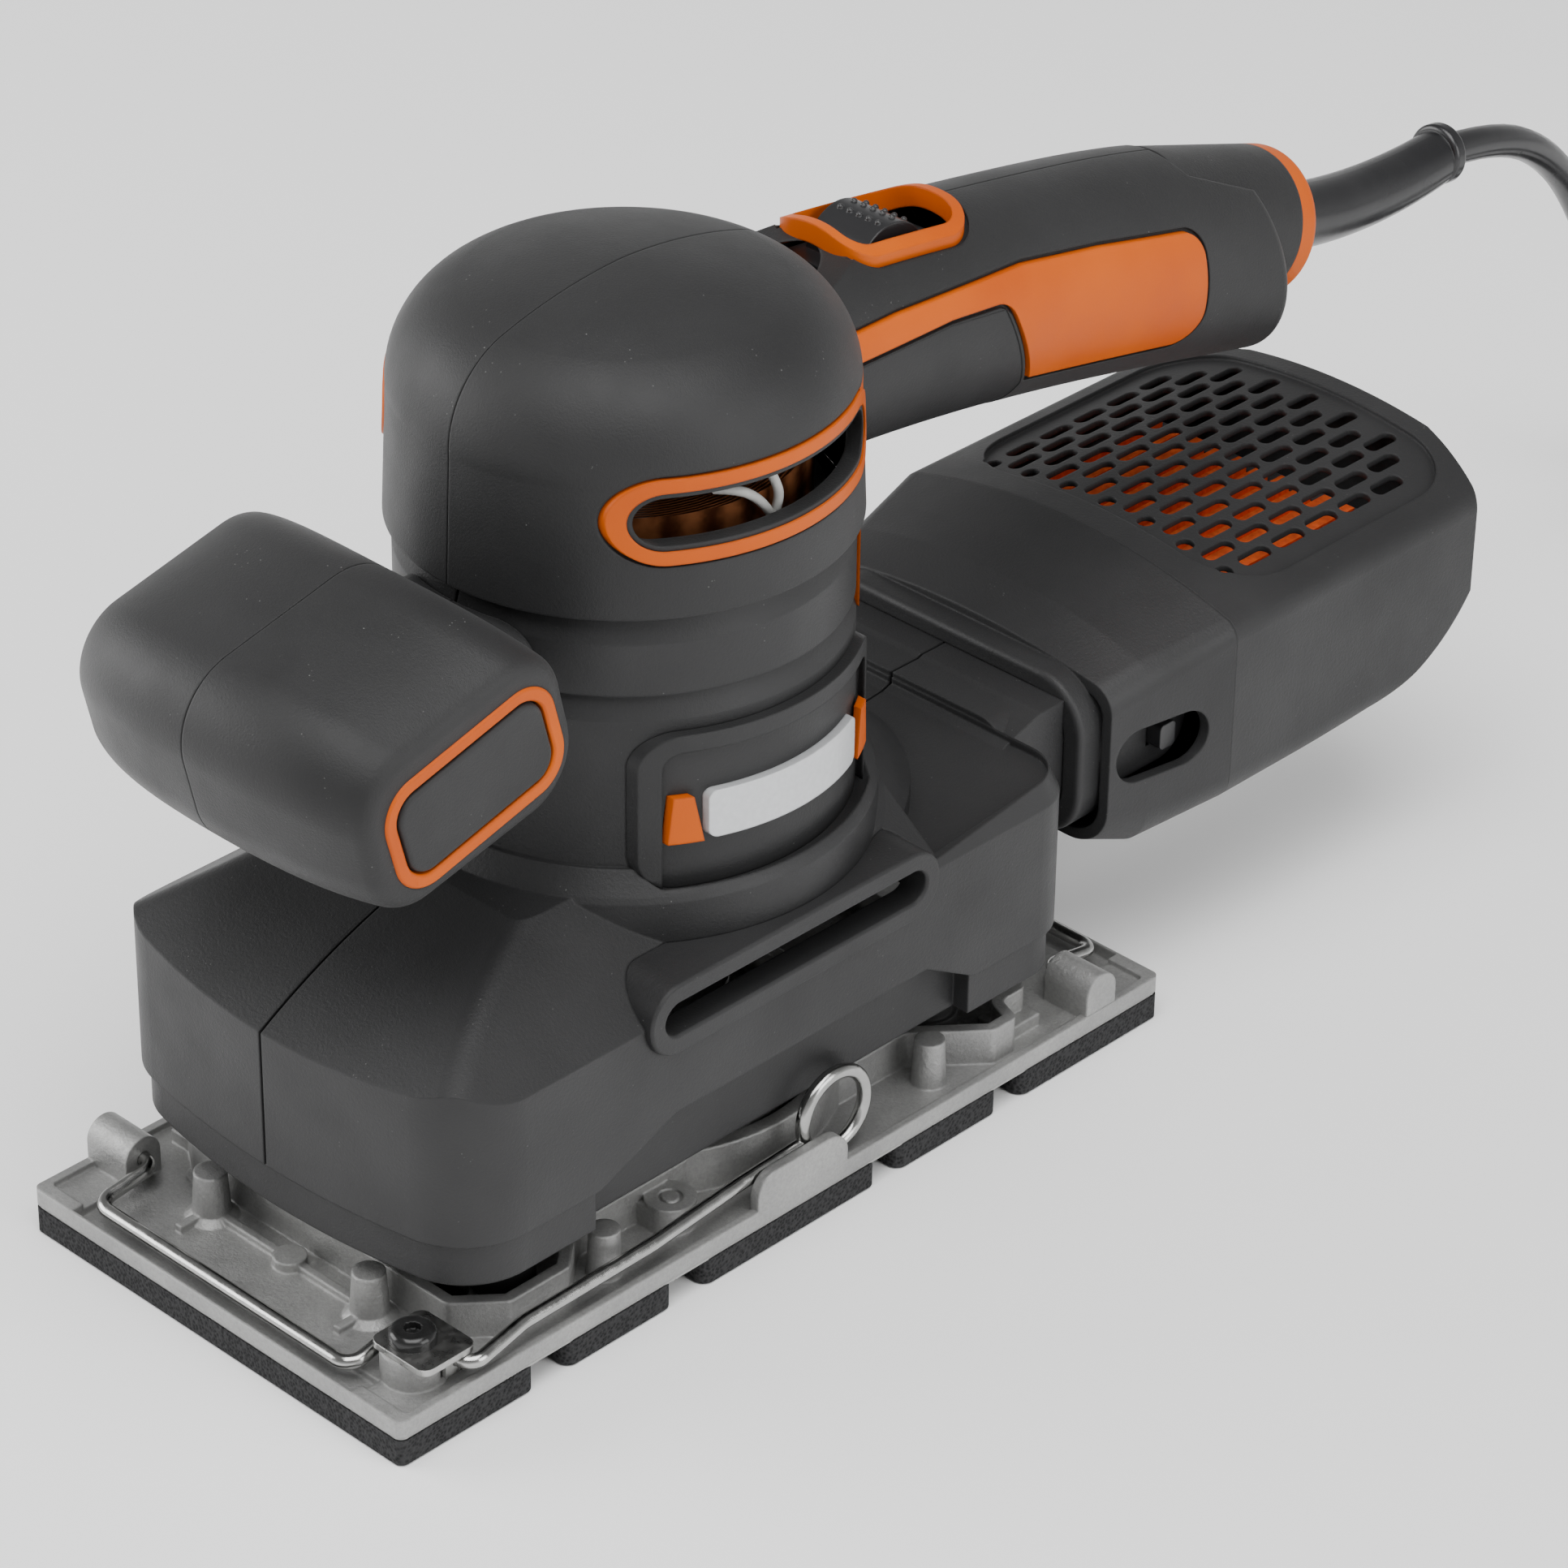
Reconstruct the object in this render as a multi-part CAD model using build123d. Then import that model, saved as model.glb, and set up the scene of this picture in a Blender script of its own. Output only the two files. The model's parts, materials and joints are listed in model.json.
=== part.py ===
from build123d import *
import os
from math import cos, radians, sin, tan

# Third-sheet orbital finishing sander, millimetres.
# Origin: centre of the pad's sanding face. +Y runs back to the handle, +X is the switch panel's right.

# ---- driving dimensions -------------------------------------------------------------------------
PAD_WIDTH, PAD_LENGTH = 93.0, 187.0
FOAM_TOP, SHEET_TOP, FLOOR_TOP, RIM_TOP = 4.9, 5.5, 7.8, 8.8
ORBIT = 1.0                     # eccentric throw, half of the 2 mm orbit
AXIS_Y = 3.3                    # motor axis
PLATEN_AXIS_Y = AXIS_Y + ORBIT
BODY_HALF, NOSE_Y, TAIL_Y = 44.5, -80.5, 72.0
NOSE_BOW, NOSE_RADIUS, TAIL_RADIUS = 6.0, 15.0, 10.0
SKIRT_BOTTOM, SKIRT_TOP, WALL_TOP = 21.8, 30.3, 57.2
SIDE_NOTCH_TOP = 37.5           # lower edge of the outer side wall between its two feet
FACET_ANGLE, CREST_RADIUS, HOOD_TOP = 36.0, 7.0, 72.3
WALL = 2.6
SEAM = 0.6                      # groove between the two lower housing shells
FINE_SEAM = 0.2                 # joint line between the rubber-covered shells
COLUMN_R, DOME_R, BORE_R = 39.0, 40.3, 36.2
DOME_BASE, DOME_TOP = 124.0, 169.0
SLOT_MID_Z, SLOT_HALF_Z = 141.4, 4.3
SLOT_LIP = 0.9                  # black lip inside the orange bezel of the air slot
KNOB_HALF = 34.5
KNOB_TILT, KNOB_END_TILT = 13.0, 15.0
KNOB_END_Y, KNOB_END_Z = -63.2, 111.9   # centre of each end face
HANDLE_HALF_W = 18.2
HANDLE_STATIONS = [(26.0, 139.8, 20.6), (60.0, 137.0, 20.6), (95.0, 131.7, 20.6), (128.0, 125.2, 20.9),
                   (163.0, 115.2, 18.6)]   # y, centre height, half height
HANDLE_END_LEAN = 11.5          # the grip's end face leans back towards its foot
SPOUT_Y, SPOUT_Z, SPOUT_R = 166.3, 119.5, 14.2   # outer face of the orange ring round the cord entry
SPOUT_TILT = 17.6
HANDLE_SCREWS_Y = (98.0, 122.0)
BOX_HALF, BOX_SEAM_Y, BOX_END_Y = 41.0, 117.0, 194.0
BOX_FLOOR = 31.6                # underside of the dust box at its seam
LATCH_Y, LATCH_Z = 104.6, 50.5   # release buttons in the sides of the dust box
CORD_R = 3.25
WIRE_R = 1.3
CLAMP_AXIS_Y, CLAMP_AXIS_Z = -77.5, 12.0
BRACKET_Z = 13.4                # underside of the plate over the clamp wire
RUN_FIT = 0.05                  # radial clearance of a running fit

PARTS = {}
os.makedirs("parts", exist_ok=True)


# ---- helpers ------------------------------------------------------------------------------------
def block(x0, x1, y0, y1, z0, z1):
    return Pos((x0 + x1) / 2, (y0 + y1) / 2, (z0 + z1) / 2) * Box(x1 - x0, y1 - y0, z1 - z0)


def rod(x, y, z0, z1, r):
    return Pos(x, y, (z0 + z1) / 2) * Cylinder(r, z1 - z0)


def tube(x, y, z0, z1, r_in, r_out):
    return rod(x, y, z0, z1, r_out) - rod(x, y, z0 - 1, z1 + 1, r_in)


def cross_rod(x0, x1, y, z, r):
    """A rod that lies along X."""
    return Pos((x0 + x1) / 2, y, z) * Rot(0, 90, 0) * Cylinder(r, x1 - x0)


def from_side(sketch, x0, x1):
    """Extrude a sketch drawn as (Y, Z) from x0 to x1."""
    return Pos(x0, 0, 0) * extrude(Plane.YZ * sketch, x1 - x0, dir=(1, 0, 0))


def from_top(sketch, z0, z1):
    return Pos(0, 0, z0) * extrude(sketch, z1 - z0, dir=(0, 0, 1))


def turned(points):
    """Revolve an (r, z) outline about the motor axis."""
    outline = Plane.XZ * Polygon(*points, align=None)
    return Pos(0, AXIS_Y, 0) * revolve(outline, Axis.Z)


def mirrored(shape):
    return mirror(shape, about=Plane.YZ)


def turned_half(shape):
    """The same piece at the other end of the pad, half a turn about Z."""
    return Rot(0, 0, 180) * shape


def right_half(shape, gap):
    return shape & block(gap / 2, 200, -200, 300, -5, 250)


def add(name, shape):
    PARTS[name] = shape


def add_both(name, shape):
    """One node that holds the right piece and its mirror image as separate solids."""
    add(name, Compound([shape, mirrored(shape)]))


def add_pair(name, shape):
    add(name + "_right", shape)
    add(name + "_left", mirrored(shape))


# ---- plan outline of the lower housing ----------------------------------------------------------
def plan_outline(inset=0.0):
    half = BODY_HALF - inset
    front, rear = NOSE_Y + inset, TAIL_Y - inset
    shoulder = front + NOSE_BOW
    edges = [
        Line((half, shoulder), (half, rear)),
        Line((half, rear), (-half, rear)),
        Line((-half, rear), (-half, shoulder)),
        ThreePointArc((-half, shoulder), (0, front), (half, shoulder)),
    ]
    face = make_face(edges)
    nose = face.vertices().filter_by(lambda v: v.Y < 0)
    face = fillet(nose, NOSE_RADIUS - inset)
    tail = [v for v in face.vertices() if v.Y > rear - 0.01]
    return fillet(tail, TAIL_RADIUS - inset)


def hood(inset=0.0, bottom=SKIRT_TOP):
    """Front and middle of the lower housing: nose ramp with a facet down each side."""
    arc = ThreePointArc((NOSE_Y, 57.0 - inset), (-64.0, 65.6 - inset), (-45.0, 72.0 - inset))
    foot = arc @ 0 - (arc % 0) * 18
    head = arc @ 1 + (arc % 1) * 16
    ramp = make_face([Line(foot, arc @ 0), arc, Line(arc @ 1, head), Line(head, (head.X, 0)),
                      Line((head.X, 0), (foot.X, 0)), Line((foot.X, 0), foot)])
    slope = tan(radians(FACET_ANGLE))
    reach = 36.0
    low, high = WALL_TOP - inset - reach * slope, WALL_TOP - inset + (BODY_HALF - 10) * slope
    facets = Polygon((-BODY_HALF - reach, 0), (BODY_HALF + reach, 0), (BODY_HALF + reach, low), (10, high),
                     (-10, high), (-BODY_HALF - reach, low), align=None)
    prism = extrude(Plane((0, -150, 0), x_dir=(1, 0, 0), z_dir=(0, -1, 0)) * facets, -200)
    nose = from_side(ramp, -90, 90) & prism
    if inset == 0:
        crests = [e for e in nose.edges() if 20 < abs(e.center().X) < 60 and abs(e.center().Z - 62) < 20
                  and e.length > 10 and -92 < e.center().Y < -33]
        nose = fillet(crests, CREST_RADIUS)
    body = nose + (prism & block(-90, 90, head.X, 40, 0, 90))
    return body & from_top(plan_outline(inset), bottom, HOOD_TOP - inset) & block(-60, 60, -90, 36, 0, 90)


def rear_deck(inset=0.0, bottom=SKIRT_TOP):
    """Rear of the lower housing: a sloping deck with a raised lip and bevelled shoulders."""
    plan = plan_outline(inset)
    shape = from_top(plan, bottom, WALL_TOP - inset)
    shape += Pos(0, 0, WALL_TOP - inset) * extrude(plan, 8, taper=24)
    lip_line = Polygon((30, 0), (90, 0), (90, 64.0 - inset), (30, 58.2 - inset), align=None)
    shape &= from_side(lip_line, -60, 60)
    return shape


def base_flare(z_low, inset=0.0):
    """Flared foot of the motor column: oval behind, round flange in front."""
    plan = Pos(0, AXIS_Y) * Ellipse(41.5 - inset, 56.5 - inset)
    top = Pos(0, AXIS_Y, 76) * Circle(COLUMN_R - inset)
    behind = from_top(plan, z_low, 61.3 - inset)
    behind += loft([Pos(0, 0, 61.3 - inset) * plan, top])
    behind &= block(-60, 60, AXIS_Y, 90, 0, 90)
    flange = [(0, z_low), (43.4 - inset, z_low), (43.4 - inset, 71.6 - inset), (42.8 - inset, 72.6 - inset),
              (39.8 - inset, 76.4 - inset), (0, 76.4 - inset)]
    return behind + turned(flange)


def column():
    """Round motor column with two stepped bevel bands."""
    return turned([(0, 74), (COLUMN_R, 74), (COLUMN_R, 104.2), (37.5, 108.4), (38.9, 109.0), (38.9, 118.6),
                   (37.4, 123.2), (37.4, DOME_BASE), (0, DOME_BASE)])


def outlet_spigot():
    """Dust outlet behind the deck, a flat duct that the dust box slides over, and the hump that leads to it."""
    mouth = Plane((0, 70, 50), x_dir=(1, 0, 0), z_dir=(0, 1, 0)) * RectangleRounded(58, 26, 8)
    body = extrude(mouth, 30)
    ramp = Polygon((62, 50), (83.9, 50), (83.9, 63.4), (78, 63.4), (66, 59.5), (62, 57.0), align=None)
    hump = from_side(ramp, -29, 29)
    return body, hump


def outer_motor_skin():
    """Everything the handle and knob butt against: column and dome, grown by a hair."""
    skin = turned([(0, 60), (COLUMN_R + 0.05, 60), (COLUMN_R + 0.05, DOME_BASE), (0, DOME_BASE)])
    return skin + dome_solid(-0.05)


def outlet_duct():
    """Bore of the outlet through the housing's rear wall, lower where it passes under the deck."""
    mouth = Plane((0, 66, 50), x_dir=(1, 0, 0), z_dir=(0, 1, 0)) * RectangleRounded(53.2, 21.2, 5.6)
    return extrude(mouth, 40) - block(-40, 40, 60, 77, 56.6, 70)


# ---- housing shells -----------------------------------------------------------------------------
def stadium_side(y_mid, z_mid, length, height):
    return Pos(y_mid, z_mid) * SlotOverall(length, height)


def side_slot(length, height, x0, x1):
    return from_side(stadium_side(-0.8, 57.1, length, height), x0, x1)


def side_notch():
    """Trapezoid cut that leaves the outer side wall high between its front and rear feet."""
    outline = Polygon((-46, 15), (-46, 30.3), (-28.5, SIDE_NOTCH_TOP), (32.6, SIDE_NOTCH_TOP), (45, 30.3),
                      (45, 15), align=None)
    cut = from_side(outline, BODY_HALF - 6, BODY_HALF + 5)
    return cut + mirrored(cut)


def leg_seats():
    return [(x, y) for x in (-29.0, 29.0) for y in (-54.0, 50.0)]


def low_screw_spots():
    """Screws along X that join the two lower shells: (y, z) of each."""
    return [(-70.0, 40.0), (64.0, 34.6)]


def deck_recess(hump):
    """Sunken floor of the rear deck, inside its raised lip."""
    floor_line = Polygon((30, 56.4), (90, 62.2), (90, 90), (30, 90), align=None)
    cut = from_side(floor_line, -60, 60) & from_top(plan_outline(2.2), 50, 90)
    cut &= block(-60, 60, 36.2, 70.5, 50, 90)
    return cut - base_flare(50, -0.02) - hump


def housing_outside():
    body = hood() + rear_deck() + base_flare(55) + column()
    spigot, hump = outlet_spigot()
    return body + spigot + hump - deck_recess(hump)


def housing_inside():
    body = hood(WALL, 20) + rear_deck(WALL + 2.0, 20) + base_flare(45, 3.2)
    return body & from_top(plan_outline(WALL), 20, 90)


def housing():
    outside, inside = housing_outside(), housing_inside()
    filled = outside + inside
    shell = outside - inside - rod(0, AXIS_Y, 40, 200, BORE_R)
    shell -= outlet_duct()
    ledge = block(37.5, BODY_HALF, -50, 49, SIDE_NOTCH_TOP, SIDE_NOTCH_TOP + 2)
    shell += (ledge + mirrored(ledge)) & from_top(plan_outline(), 30, 60)
    shell -= side_notch()
    for x, y in leg_seats():
        post = rod(x, y, 44, 80, 8.0) - rod(x, y, 40, 48, 5.6)
        shell += post & filled
    for y, z in low_screw_spots():
        shell += cross_rod(-43, 43, y, z, 3.6) & filled
        shell -= cross_rod(-12, 12, y, z, 1.6)
    frame_cut = side_slot(69.5, 13.6, 34, 60)
    return shell - frame_cut - mirrored(frame_cut)


def add_housing(trim):
    shell = housing() - trim - mirrored(trim)
    right = right_half(shell, SEAM)
    add("housing_right", right - badge_pocket())
    add("housing_left", mirrored(right - badge_pocket()))


def add_side_slot_frames():
    frame = side_slot(69.5, 13.6, 34, 45.9) - side_slot(62.6, 6.2, 30, 50)
    rear_edge = frame.faces().sort_by(Axis.X)[-1].edges()
    frame = chamfer(rear_edge, 0.4)
    inner_cut = hood(WALL + 1.4, 20)
    frame -= inner_cut & block(0, 42, -60, 36, 0, 90)
    add_both("side_slot_frames", frame)


def add_dust_skirt():
    """One-piece lower skirt: below the nose and tail, and stepped inboard along both sides."""
    ring = from_top(plan_outline(1.3), SKIRT_BOTTOM, SKIRT_TOP) - from_top(plan_outline(4.0), 0, 60)
    ends = ring - block(-60, 60, -46, 45, 0, 60)
    side = block(37.4, 39.6, -48, 47, SKIRT_BOTTOM, SIDE_NOTCH_TOP)
    web_front = block(37.4, BODY_HALF - 1.3, -48, -46, SKIRT_BOTTOM, SKIRT_TOP)
    web_rear = block(37.4, BODY_HALF - 1.3, 45, 47, SKIRT_BOTTOM, SKIRT_TOP)
    upper = block(37.4, 39.6, -48, -44, SKIRT_TOP, SIDE_NOTCH_TOP)
    flank = side + web_front + web_rear - upper - block(37, 40, 43, 48, SKIRT_TOP, 60)
    skirt = ends + flank + mirrored(flank)
    skirt -= block(1.4, 1.7, -90, -79.6, 0, 60)
    add("dust_skirt", skirt)


# ---- badge on the column ------------------------------------------------------------------------
def column_band(r_in, r_out):
    return tube(0, AXIS_Y, 60, 122, r_in, r_out) & block(5, 60, -60, 60, 0, 200)


def badge_outline(inset):
    width, height = 55.0 - 2 * inset, 30.0 - 2 * inset
    return Pos(AXIS_Y + 0.4, 87.0) * RectangleRounded(width, height, 6.5 - inset)


def badge_pocket():
    return column_band(COLUMN_R - 0.8, COLUMN_R + 3) & from_side(badge_outline(0), 5, 60)


def add_badge():
    plate = column_band(COLUMN_R - 0.8, COLUMN_R + 0.5) & from_side(badge_outline(0), 5, 60)
    rim = column_band(COLUMN_R - 0.8, COLUMN_R + 1.9) & from_side(badge_outline(0), 5, 60)
    lower_edge = from_side(Pos(AXIS_Y + 0.4, 75) * Rectangle(48.6, 16), 0, 70)
    window = from_side(badge_outline(3.2), 0, 70) + lower_edge
    add_pair("badge_frame", plate + (rim - window))
    bar = column_band(COLUMN_R + 0.5, COLUMN_R + 2.0) & from_side(
        Pos(AXIS_Y + 0.4, 86.2) * RectangleRounded(35.0, 9.0, 1.6), 5, 60)
    add_both("badge_bars", bar)
    lean = Polygon((-23.6, 81.4), (-18.2, 81.4), (-19.8, 90.2), (-22.8, 90.2), align=None)
    wedge = column_band(COLUMN_R + 0.5, COLUMN_R + 2.0) & from_side(Pos(AXIS_Y + 0.4, 0) * lean, 5, 60)
    other = mirror(wedge, about=Plane((0, AXIS_Y + 0.4, 0), z_dir=(0, 1, 0)))
    add_both("badge_wedges", wedge + other)


# ---- dome ---------------------------------------------------------------------------------------
def dome_solid(inset=0.0):
    """Soft cover over the motor: straight wall, round shoulder and a shallow crown."""
    r, top = DOME_R - inset, DOME_TOP - inset
    outline = [
        Line((0, DOME_BASE), (r, DOME_BASE)),
        Line((r, DOME_BASE), (r - 1.0, 147.0)),
        ThreePointArc((r - 1.0, 147.0), (r - 4.6, 158.6), (r - 12.5, top - 4.6)),
        ThreePointArc((r - 12.5, top - 4.6), (r / 2 - 8, top - 1.0), (0, top)),
        Line((0, top), (0, DOME_BASE)),
    ]
    return Pos(0, AXIS_Y, 0) * revolve(Plane.XZ * make_face(outline), Axis.Z)


def air_slot(grow, x0=10, x1=60):
    """Stadium window in the dome's flank."""
    length = 51.0 + 2 * grow
    height = 2 * (SLOT_HALF_Z + grow)
    return from_side(stadium_side(AXIS_Y - 1.2, SLOT_MID_Z, length, height), x0, x1)


def trim_skin(proud, depth=2.9):
    skin = dome_solid(-proud) - dome_solid(depth)
    return skin & block(-60, 60, -60, 60, DOME_BASE + 0.01, 170)


def air_trim():
    """Orange bezel of the air slot, with a tail that leads round to the handle and down the column."""
    bezel = trim_skin(0.35, 1.5) & (air_slot(3.3) - air_slot(SLOT_LIP, 5, 70))
    tail_z = SLOT_MID_Z + SLOT_HALF_Z
    tail = trim_skin(0.02) & block(10, 60, AXIS_Y + 22, 60, tail_z - 0.4, tail_z + 3.2)
    tail -= air_slot(SLOT_LIP, 5, 70)
    stripe_box = block(24, 40, AXIS_Y + 27.6, AXIS_Y + 30.2, 104, tail_z)
    upper = trim_skin(0.02) & stripe_box
    lower = tube(0, AXIS_Y, 104, DOME_BASE + 0.01, COLUMN_R - 2.2, COLUMN_R + 0.5) & stripe_box
    return (upper + lower) + tail + bezel


def add_dome(trim):
    shell = dome_solid() - (dome_solid(2.9) & block(-60, 60, -60, 60, DOME_BASE, 170))
    shell -= rod(0, AXIS_Y, DOME_BASE - 1, DOME_BASE + 3, DOME_R - 2.9)
    groove = trim_skin(0.5, 0.8) & (air_slot(3.8) - air_slot(3.2, 5, 70))
    cut = air_slot(0) + groove + trim
    shell -= cut + mirrored(cut)
    add_pair("dome_cover", right_half(shell, FINE_SEAM))


# ---- front knob ---------------------------------------------------------------------------------
def knob_section(x, width, height, radius, y, z):
    plane = Plane((x, y, z), x_dir=(0, cos(radians(KNOB_TILT)), sin(radians(KNOB_TILT))), z_dir=(1, 0, 0))
    return plane * RectangleRounded(width, height, radius)


def knob_solid(inset=0.0):
    """Cross grip, fullest in the middle, its two ends swept back towards the column."""
    stations = [(0, 49.0, 35.6, 13.0, -68.6, 115.2), (19, 48.4, 34.6, 12.6, -67.4, 114.5),
                (KNOB_HALF - inset, 45.0, 29.8, 11.0, KNOB_END_Y, KNOB_END_Z)]
    rows = [(-x, w, h, r, y, z) for x, w, h, r, y, z in reversed(stations[1:])] + stations
    sections = [knob_section(x, w - 2 * inset, h - 2 * inset, r - inset / 2, y, z) for x, w, h, r, y, z in rows]
    shape = loft(sections)
    if inset == 0:
        ends = [e for f in (shape.faces().sort_by(Axis.X)[0], shape.faces().sort_by(Axis.X)[-1])
                for e in f.edges()]
        shape = fillet(ends, 3.6)
    return shape


def knob_stem(inset=0.0):
    """Short neck behind the knob that carries it on the column."""
    stem = Pos(0, -47, 111.5) * Box(32 - 2 * inset, 32, 18 - 2 * inset)
    return fillet(stem.edges().filter_by(Axis.Y), 7 - inset)


def knob_end(width, height, radius, x0, x1):
    tilt = radians(KNOB_END_TILT)
    plane = Plane((x0, KNOB_END_Y, KNOB_END_Z), x_dir=(0, cos(tilt), sin(tilt)), z_dir=(1, 0, 0))
    return extrude(plane * RectangleRounded(width, height, radius), x1 - x0)


def add_knob():
    shape = knob_solid() + (knob_stem() - outer_motor_skin())
    shape -= knob_solid(3.0) + (knob_stem(3.0) - rod(0, AXIS_Y, 90, 140, DOME_R + 2.2))
    ring_out = knob_end(37.4, 21.4, 7.2, KNOB_HALF - 1.6, KNOB_HALF + 2)
    shape -= ring_out + mirrored(ring_out)
    add_pair("front_knob", right_half(shape, FINE_SEAM))
    ring = knob_end(37.4, 21.4, 7.2, KNOB_HALF - 1.6, KNOB_HALF + 0.4)
    ring -= knob_end(32.6, 16.6, 4.8, KNOB_HALF - 3, KNOB_HALF + 3)
    add_both("knob_rings", chamfer(ring.faces().sort_by(Axis.X)[-1].edges(), 0.35))
    pad = knob_end(31.8, 15.8, 4.4, KNOB_HALF - 1.6, KNOB_HALF + 0.5)
    add_both("knob_pads", fillet(pad.faces().sort_by(Axis.X)[-1].edges(), 0.8))


# ---- handle -------------------------------------------------------------------------------------
def handle_line(y):
    """Height of the handle's centre line, falling towards the cord."""
    t = (y - 90.0) / 50.0
    return 132.6 - 8.8 * t - 2.5 * t * t


def handle_solid(grow=0.0):
    """Full length of the grip, with soft-edged oval sections."""
    sections = []
    for y, z, half_h in HANDLE_STATIONS:
        plane = Plane((0, y, z), x_dir=(1, 0, 0), z_dir=(0, -1, 0))
        sections.append(plane * Ellipse(HANDLE_HALF_W + grow, half_h + grow))
    return loft(sections)


def grip_end_space(back=0.0):
    """Everything in front of the grip's leaning end face, or of a plane that lies back from it."""
    lean = radians(HANDLE_END_LEAN)
    plane = Plane((0, 155.3 - back, 116.8), x_dir=(1, 0, 0), z_dir=(0, cos(lean), sin(lean)))
    return extrude(plane * Rectangle(120, 120), -200)


def spout_plane(back):
    """Plane square to the cord entry, back from its outer face."""
    tilt = radians(SPOUT_TILT)
    direction = Vector(0, cos(tilt), -sin(tilt))
    return Plane(Vector(0, SPOUT_Y, SPOUT_Z) - direction * back, x_dir=(1, 0, 0), z_dir=direction)


def spout(radius, back, length):
    return extrude(spout_plane(back) * Circle(radius), length)


def side_panel_outline():
    strip = Polygon((38, 142.8), (40, 147.4), (52, 147.2), (84, 144.8), (104, 141.2), (130.6, 135.4),
                    (130.6, 113.6), (86.2, 122.4), (78.6, 140.6), (64, 142.2), (38, 142.6), align=None)
    corners = [v for v in strip.vertices() if v.X > 125 or abs(v.X - 78.6) < 0.1]
    return fillet(corners, 5.5)


def insert_outline():
    return Polygon((38, 141.6), (64, 141.2), (77.6, 139.4), (85.0, 121.6), (84, 95), (38, 95), align=None)


def switch_window(inset, z0, z1):
    shape = Pos(0, 63) * Rectangle(21.4 - 2 * inset, 31.6 - 2 * inset)
    rear = [v for v in shape.vertices() if v.Y > 63]
    shape = fillet(rear, 8.0 - inset)
    front = [v for v in shape.vertices() if v.Y < 50 + inset]
    return from_top(fillet(front, 6.0 - inset), z0, z1)


def handle_rind(depth_out, depth_in):
    return handle_solid(depth_out) - handle_solid(-depth_in)





def grip_body():
    """Rubber-covered grip: closed behind, its crown cut down where the cord entry rises out of it."""
    outside = handle_solid() & grip_end_space()
    rear_edges = outside.faces().sort_by(Axis.Y)[-1].edges()
    outside = fillet(rear_edges, 2.4)
    crown = Polygon((133, 160), (133, 146.6), (135.6, 141.8), (152, 134.2), (175, 128), (175, 160), align=None)
    body = outside - from_side(crown, -40, 40) - outer_motor_skin()
    body -= handle_solid(-3.0) & grip_end_space(3.0)
    return body - spout(SPOUT_R + 0.05, 37.5, 60)


def add_handle(trim):
    body = grip_body()
    inlays = from_side(side_panel_outline(), 2, 40) + from_side(insert_outline(), 2, 40)
    inlay_cut = handle_rind(2.0, 1.5) & inlays
    groove = handle_rind(2.0, 0.8) & from_side(offset(side_panel_outline(), 0.8), 2, 40)
    body -= inlay_cut + mirrored(inlay_cut) + groove + mirrored(groove)
    body -= switch_window(0, 140, 170) + (handle_rind(2.0, 0.8) & switch_window(-0.8, 140, 170))
    body -= trim + mirrored(trim)
    for y in HANDLE_SCREWS_Y:
        z = handle_line(y)
        body += cross_rod(-17, 17, y, z, 3.6) & handle_solid(-1.6)
        body -= cross_rod(-12, 12, y, z, 1.6)
    add_pair("handle_shell", right_half(body, FINE_SEAM))
    panel = handle_rind(0.25, 1.5) & from_side(side_panel_outline(), 2, 40)
    add_pair("side_panel", panel - outer_motor_skin() - trim)
    insert = handle_rind(-0.1, 1.5) & from_side(insert_outline(), 2, 40)
    insert -= from_side(side_panel_outline(), 0, 50) + outer_motor_skin() + trim
    add_both("grip_inserts", insert)
    frame = handle_rind(0.9, 2.9) & (switch_window(0, 140, 170) - switch_window(2.2, 130, 180))
    add("switch_frame", frame)


def add_switch():
    """Slider with a round hump for the thumb, studded on its rear slope, over the switch itself."""
    z = handle_line(60) + 12.6
    hump_y, hump_r = 60.5, 8.0
    plate = Pos(0, 60.5, z + 0.2) * Rot(-6.0, 0, 0) * Box(15.6, 25.0, 1.6)
    hump = cross_rod(-6.3, 6.3, hump_y, z, hump_r) & block(-10, 10, 50, 72, z - 0.2, z + 10)
    slider = plate + hump
    for angle in (-10, 14, 38, 60):
        lean = radians(angle)
        for col in range(5):
            slider += Pos(-4.4 + 2.2 * col, hump_y + hump_r * sin(lean), z + hump_r * cos(lean)) * Sphere(0.6)
    add("switch_slider", slider)
    add("switch_body", block(-10.6, 10.6, 45, 79, z - 14.6, z - 2.6))


# ---- handle end, strain relief and cord ---------------------------------------------------------



def add_end_cap():
    bore = spout(6.6, 50, 80)
    add("end_cap", spout(SPOUT_R, 37.4, 32.4) - bore)
    ring = spout(SPOUT_R, 5.0, 5.0) - bore
    outer = ring.faces().sort_by(Axis.Y)[-1].edges().sort_by(SortBy.LENGTH)[-1]
    add("end_ring", fillet([outer], 1.6))


def add_strain_relief():
    """Rubber boot: a plug in the cord entry, then a taper that bends up with the cord."""
    leaving = Vector(*CORD_ROUTE[1]) - Vector(*CORD_ROUTE[0])
    tip = Plane(CORD_ROUTE[0], z_dir=leaving)
    middle = Plane((0, 194.0, 114.2), z_dir=(0, 1, -0.09))
    boot = loft([spout_plane(0) * Circle(6.5), middle * Circle(6.0), tip * Circle(5.2)])
    lip = extrude(tip * Circle(5.9), -3.2)
    lip = fillet(lip.edges(), 0.9)
    add("strain_relief", spout(6.5, 20, 20.1) + boot + lip)


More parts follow.
